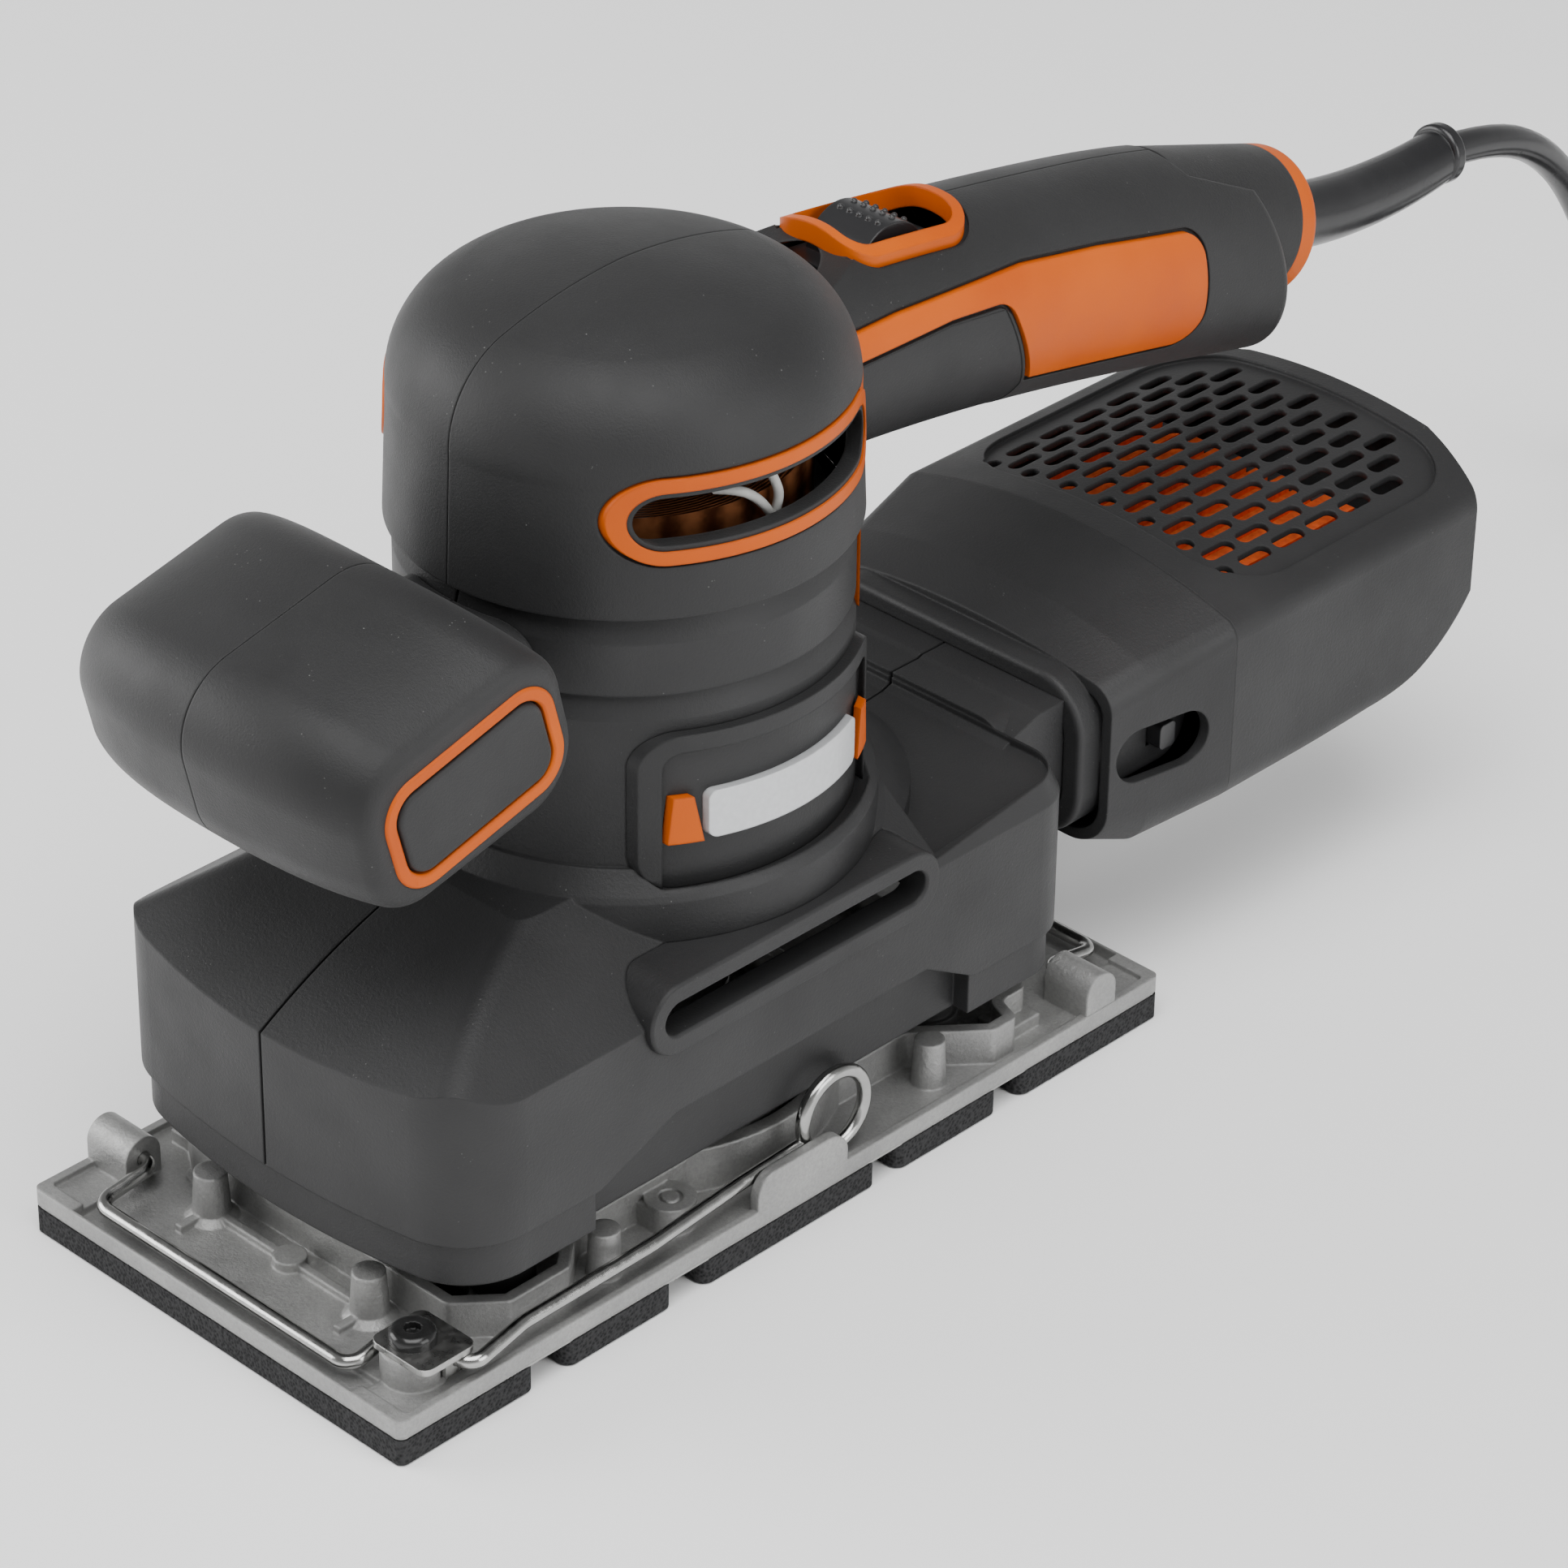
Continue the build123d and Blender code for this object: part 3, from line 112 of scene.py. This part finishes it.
# ---- small node-tree helpers ----
class Tree:
    """A new material and short ways to add nodes to it. Scales are per metre."""

    def __init__(self, name):
        self.material = bpy.data.materials.new(name)
        self.material.use_nodes = True
        self.nodes = self.material.node_tree.nodes
        self.links = self.material.node_tree.links
        self.shader = self.nodes["Principled BSDF"]
        self.place = self.nodes.new("ShaderNodeTexCoord").outputs["Object"]

    def link(self, out, into):
        self.links.new(out, into)

    def noise(self, scale, detail=3.0, roughness=0.55):
        node = self.nodes.new("ShaderNodeTexNoise")
        node.inputs["Scale"].default_value = scale
        node.inputs["Detail"].default_value = detail
        node.inputs["Roughness"].default_value = roughness
        self.link(self.place, node.inputs["Vector"])
        return node.outputs["Fac"]

    def cells(self, scale):
        node = self.nodes.new("ShaderNodeTexVoronoi")
        node.inputs["Scale"].default_value = scale
        self.link(self.place, node.inputs["Vector"])
        return node.outputs["Distance"]

    def rings(self, scale, distortion):
        node = self.nodes.new("ShaderNodeTexWave")
        node.wave_type = "RINGS"
        node.rings_direction = "Z"
        node.inputs["Scale"].default_value = scale
        node.inputs["Distortion"].default_value = distortion
        self.link(self.place, node.inputs["Vector"])
        return node.outputs["Fac"]

    def remap(self, value, low, high, to_low=0.0, to_high=1.0):
        node = self.nodes.new("ShaderNodeMapRange")
        node.inputs["From Min"].default_value = low
        node.inputs["From Max"].default_value = high
        node.inputs["To Min"].default_value = to_low
        node.inputs["To Max"].default_value = to_high
        self.link(value, node.inputs["Value"])
        return node.outputs["Result"]

    def product(self, first, second):
        node = self.nodes.new("ShaderNodeMath")
        node.operation = "MULTIPLY"
        self.link(first, node.inputs[0])
        self.link(second, node.inputs[1])
        return node.outputs[0]

    def mix(self, factor, first, second):
        node = self.nodes.new("ShaderNodeMix")
        node.data_type = "RGBA"
        self.link(factor, node.inputs["Factor"])
        for socket, value in ((node.inputs[6], first), (node.inputs[7], second)):
            if isinstance(value, tuple):
                socket.default_value = (*value, 1.0)
            else:
                self.link(value, socket)
        return node.outputs[2]

    def colour(self, value):
        self.link(value, self.shader.inputs["Base Color"])

    def set(self, **values):
        for name, value in values.items():
            socket = self.shader.inputs[name.replace("_", " ")]
            if isinstance(value, (int, float)):
                socket.default_value = value
            else:
                self.link(value, socket)

    def bump(self, height, strength, distance, edge=0.0):
        """Relief of a height in metres, with edges rounded to a radius in metres."""
        node = self.nodes.new("ShaderNodeBump")
        node.inputs["Strength"].default_value = strength
        node.inputs["Distance"].default_value = distance
        self.link(height, node.inputs["Height"])
        if edge:
            bevel = self.nodes.new("ShaderNodeBevel")
            bevel.samples = 4
            bevel.inputs["Radius"].default_value = edge
            self.link(bevel.outputs["Normal"], node.inputs["Normal"])
        self.link(node.outputs["Normal"], self.shader.inputs["Normal"])


# ---- materials ----
def moulded(name, colour, rough, grain, specks=0.0, shine=0.28):
    """Spark-textured or soft-touch black moulding, with dust where specks is above 0."""
    t = Tree(name)
    cloud = t.remap(t.noise(scale=18.0, detail=4.0), low=0.35, high=0.65)
    dark = tuple(c * 0.80 for c in colour)
    light = tuple(c * 1.22 for c in colour)
    base = t.mix(cloud, dark, light)
    if specks:
        dust = t.remap(t.cells(scale=900.0), low=0.0, high=0.14, to_low=1.0, to_high=0.0)
        gate = t.remap(t.noise(scale=160.0, detail=2.0), low=0.60, high=0.68)
        strength = t.remap(t.product(dust, gate), low=0.0, high=1.0, to_high=specks)
        base = t.mix(strength, base, DUST_GREY)
    t.colour(base)
    worn = t.remap(t.noise(scale=60.0), low=0.3, high=0.7, to_low=rough - 0.06, to_high=rough + 0.06)
    t.set(Roughness=worn, Specular_IOR_Level=shine)
    t.bump(t.noise(scale=grain, roughness=0.75), strength=0.55, distance=0.00016, edge=0.0006)
    return t


def soft_grip():
    t = moulded("soft_grip", SOFT_BLACK, rough=0.50, grain=2300.0, specks=0.7, shine=0.30)
    t.set(Sheen_Weight=0.05)
    return t.material


def housing_plastic():
    return moulded("housing_plastic", HOUSING_BLACK, rough=0.47, grain=1700.0, specks=0.45).material


def inner_plastic():
    return moulded("inner_plastic", INNER_GREY, rough=0.5, grain=1500.0).material


def rubber_black():
    return moulded("rubber_black", RUBBER_BLACK, rough=0.6, grain=1500.0).material


def orange_trim():
    t = Tree("orange_trim")
    t.colour(t.mix(t.remap(t.noise(scale=30.0), low=0.35, high=0.65), *ORANGES))
    satin = t.remap(t.noise(scale=120.0, detail=2.0), low=0.3, high=0.7, to_low=0.38, to_high=0.48)
    t.set(Roughness=satin, Specular_IOR_Level=0.2)
    t.bump(t.noise(scale=2400.0, roughness=0.7), strength=0.3, distance=0.0001, edge=0.0005)
    return t.material


def silver_paint():
    t = Tree("silver_paint")
    t.colour(t.mix(t.noise(scale=900.0, detail=2.0), *SILVERS))
    t.set(Metallic=0.35, Roughness=0.38)
    t.bump(t.noise(scale=2400.0, detail=2.0), strength=0.25, distance=0.00006, edge=0.0004)
    return t.material


def cast_aluminium():
    """Sand-grey die casting, darker where it is rough."""
    t = Tree("cast_aluminium")
    body = t.mix(t.remap(t.noise(scale=45.0, detail=5.0), low=0.35, high=0.65), *CASTINGS)
    pits = t.remap(t.noise(scale=1500.0, roughness=0.7), low=0.35, high=0.75, to_high=0.35)
    t.colour(t.mix(pits, body, CASTING_PITS))
    t.set(Metallic=0.75, Roughness=t.remap(t.noise(scale=220.0), low=0.3, high=0.7, to_low=0.42, to_high=0.56))
    t.bump(t.noise(scale=1300.0, detail=4.0, roughness=0.7), strength=0.75, distance=0.00022, edge=0.0007)
    return t.material


def bright_steel(name, rough):
    t = Tree(name)
    t.colour(t.mix(t.noise(scale=300.0), *STEELS))
    brushed = t.remap(t.noise(scale=500.0, detail=2.0), low=0.3, high=0.7, to_low=rough - 0.05, to_high=rough + 0.08)
    t.set(Metallic=1.0, Roughness=brushed)
    t.bump(t.noise(scale=1500.0, detail=2.0), strength=0.2, distance=0.00005, edge=0.0003)
    return t.material


def black_screw():
    t = Tree("black_screw")
    t.colour(t.mix(t.noise(scale=400.0), *SCREW_BLACKS))
    t.set(Metallic=0.4, Roughness=0.16)
    t.bump(t.noise(scale=1200.0, detail=2.0), strength=0.1, distance=0.00005, edge=0.0004)
    return t.material


def pad_foam():
    """Open-cell foam: the cells show in the relief, and in the colour as painted shade, darker in each cell's
    hollow.
    """
    t = Tree("pad_foam")
    # painted shade: each cell goes darker towards its centre, where the relief dips
    t.colour(t.mix(t.remap(t.cells(scale=1500.0), low=0.1, high=0.7), *FOAM_PORE_SHADE_TO_WALL))
    t.set(Roughness=0.92, Specular_IOR_Level=0.2)
    t.bump(t.cells(scale=1500.0), strength=0.9, distance=0.0003)
    return t.material


def flex_sheath():
    """Glossy sheath of the mains cord, its boot and its plug."""
    t = Tree("flex_sheath")
    t.colour(t.mix(t.remap(t.noise(scale=40.0), low=0.35, high=0.65), *GLOSSY_BLACKS))
    gloss = t.remap(t.noise(scale=90.0), low=0.3, high=0.7, to_low=0.20, to_high=0.30)
    t.set(Roughness=gloss, Specular_IOR_Level=0.5)
    t.bump(t.noise(scale=500.0, detail=2.0), strength=0.12, distance=0.0001, edge=0.0004)
    return t.material


def smoked_plastic():
    t = Tree("smoked_plastic")
    t.colour(t.mix(t.noise(scale=60.0), *GLOSSY_BLACKS))
    t.set(Roughness=0.3)
    t.bump(t.noise(scale=900.0, detail=2.0), strength=0.1, distance=0.00006, edge=0.0004)
    return t.material


def copper_winding():
    """Enamelled wire, wound in rings round the motor's axis, with painted shade in the grooves between turns and a
    painted highlight on their crests.
    """
    t = Tree("copper_winding")
    wire = t.rings(scale=420.0, distortion=1.5)
    # painted shade and painted highlight: the colour goes dark in the grooves and light on the crests of the same
    # rings that make the relief
    t.colour(t.mix(wire, *COPPER_SHADE_TO_HIGHLIGHT))
    t.set(Metallic=0.7, Roughness=0.3)
    t.bump(wire, strength=0.6, distance=0.0002)
    return t.material


def pleated_paper():
    t = Tree("pleated_paper")
    t.colour(t.mix(t.remap(t.noise(scale=700.0), low=0.3, high=0.7), *FILTER_REDS))
    t.set(Roughness=0.85)
    t.bump(t.noise(scale=1400.0), strength=0.5, distance=0.0001)
    return t.material


def lead_sleeve():
    t = Tree("lead_sleeve")
    t.colour(t.mix(t.noise(scale=500.0), *SLEEVE_WHITES))
    t.set(Roughness=0.45)
    t.bump(t.noise(scale=1500.0, detail=2.0), strength=0.2, distance=0.00005)
    return t.material


def pale_floor():
    t = Tree("pale_floor")
    t.colour(t.mix(t.noise(scale=3.0, detail=2.0), *FLOOR_WHITES))
    t.set(Roughness=0.9)
    return t.material


def finish_of_slots():
    """The record's material slots and the material that each one shows."""
    rubber = rubber_black()
    return {
        "soft_grip": soft_grip(), "housing": housing_plastic(), "trim": orange_trim(), "bar": silver_paint(),
        "glass_black": smoked_plastic(), "casting": cast_aluminium(), "foam": pad_foam(),
        "sheet_steel": bright_steel("zinc_sheet", rough=0.3), "spring_wire": bright_steel("spring_wire", rough=0.18),
        "motor_steel": bright_steel("motor_steel", rough=0.35), "screw_black": black_screw(),
        "leg_rubber": rubber, "carbon": rubber, "copper": copper_winding(), "inner_plastic": inner_plastic(),
        "filter": pleated_paper(), "cord": flex_sheath(),
    }


def dress_nodes(finishes):
    for part in frame["record"]["subparts"]:
        node = NODES[part["node"]]
        node.data.materials.clear()
        node.data.materials.append(finishes[part["material_slot"]])


# ---- cord and leads ----
def round_curve(name, routes, diameter, roundness, material):
    """One curve object, with a smooth round strand along each route in mm, that rides on the machine."""
    curve = bpy.data.curves.new(name, "CURVE")
    curve.dimensions = "3D"
    for route in routes:
        spline = curve.splines.new("NURBS")
        spline.points.add(len(route) - 1)
        for point, place in zip(spline.points, route):
            point.co = (*(v * MM for v in place), 1.0)
        spline.order_u = SPLINE_ORDER
        spline.use_endpoint_u = True
        spline.resolution_u = SPLINE_STEPS
    curve.bevel_depth = diameter / 2
    curve.bevel_resolution = roundness
    curve.use_fill_caps = True
    curve.materials.append(material)
    strand = bpy.data.objects.new(name, curve)
    bpy.context.collection.objects.link(strand)
    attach(strand, MACHINE)
    return strand


def coil_points():
    """The put-away turns: inwards along the upper layer, then outwards along the lower one."""
    points = []
    for step in range((COIL_TURNS_IN + COIL_TURNS_OUT) * POINTS_PER_TURN + 1):
        turn = step / POINTS_PER_TURN
        turns_from_rim = turn if turn <= COIL_TURNS_IN else 2 * COIL_TURNS_IN - turn
        radius = COIL_START_R - COIL_PITCH * turns_from_rim
        drop = min(max((turn - COIL_TURNS_IN) / COIL_DROP_TURNS + 0.5, 0.0), 1.0)
        z = COIL_UPPER_Z + (COIL_LOWER_Z - COIL_UPPER_Z) * drop
        angle = pi - 2 * pi * turn
        points.append((COIL_CENTRE[0] + radius * cos(angle), COIL_CENTRE[1] + radius * sin(angle), z))
    return points


def mains_cord(material):
    route = LEAD_ROUTE + coil_points() + TAIL_ROUTE
    cord = round_curve("mains_cord", [route], CORD_DIAMETER, 5, material)
    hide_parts("cord_lead", "cord_coil", "cord_tail")


def field_leads():
    leads = round_curve("field_leads", FIELD_LEADS, LEAD_DIAMETER, 3, lead_sleeve())


# ---- camera, floor and light ----
def add_camera():
    a, e, roll = VIEW_AZIMUTH, VIEW_ELEVATION, VIEW_ROLL
    back = Vector((sin(a) * cos(e), -cos(a) * cos(e), sin(e)))
    right = Vector((cos(a), sin(a), 0.0))
    up = back.cross(right)
    across = right * cos(roll) + up * sin(roll)
    upright = up * cos(roll) - right * sin(roll)
    data = bpy.data.cameras.new("camera")
    data.lens = LENS_MM
    data.clip_start = CLIP_START
    camera = bpy.data.objects.new("camera", data)
    camera.matrix_world = Matrix.Translation(CAMERA_PLACE) @ Matrix((across, upright, back)).transposed().to_4x4()
    bpy.context.collection.objects.link(camera)
    bpy.context.scene.camera = camera


def add_floor():
    bpy.ops.mesh.primitive_plane_add(size=FLOOR_SIZE, location=(0, 0, FLOOR_Z))
    floor = bpy.context.object
    floor.name = "floor"
    floor.data.materials.append(pale_floor())


def add_area_light(name, place, target, size, power):
    data = bpy.data.lights.new(name, "AREA")
    data.shape = "RECTANGLE"
    data.size, data.size_y = size
    data.energy = power
    light = bpy.data.objects.new(name, data)
    light.location = place
    aim = Vector(target) - Vector(place)
    light.rotation_euler = aim.to_track_quat("-Z", "Y").to_euler()
    bpy.context.collection.objects.link(light)


def add_sky():
    """Studio surround: bright round the horizon, dim overhead."""
    world = bpy.data.worlds.new("studio")
    world.use_nodes = True
    nodes, links = world.node_tree.nodes, world.node_tree.links
    split = nodes.new("ShaderNodeSeparateXYZ")
    links.new(nodes.new("ShaderNodeTexCoord").outputs["Generated"], split.inputs[0])
    height = nodes.new("ShaderNodeMapRange")
    height.inputs["From Min"].default_value = 0.0
    height.inputs["From Max"].default_value = SKY_TOP
    height.inputs["To Min"].default_value = SKY_LOW
    height.inputs["To Max"].default_value = SKY_HIGH
    links.new(split.outputs["Z"], height.inputs["Value"])
    background = nodes["Background"]
    background.inputs["Color"].default_value = (1.0, 1.0, 1.0, 1.0)
    links.new(height.outputs["Result"], background.inputs["Strength"])
    bpy.context.scene.world = world


finishes = finish_of_slots()
dress_nodes(finishes)
mains_cord(finishes["cord"])
field_leads()
add_camera()
add_floor()
add_sky()
for light in LIGHTS:
    add_area_light(*light)
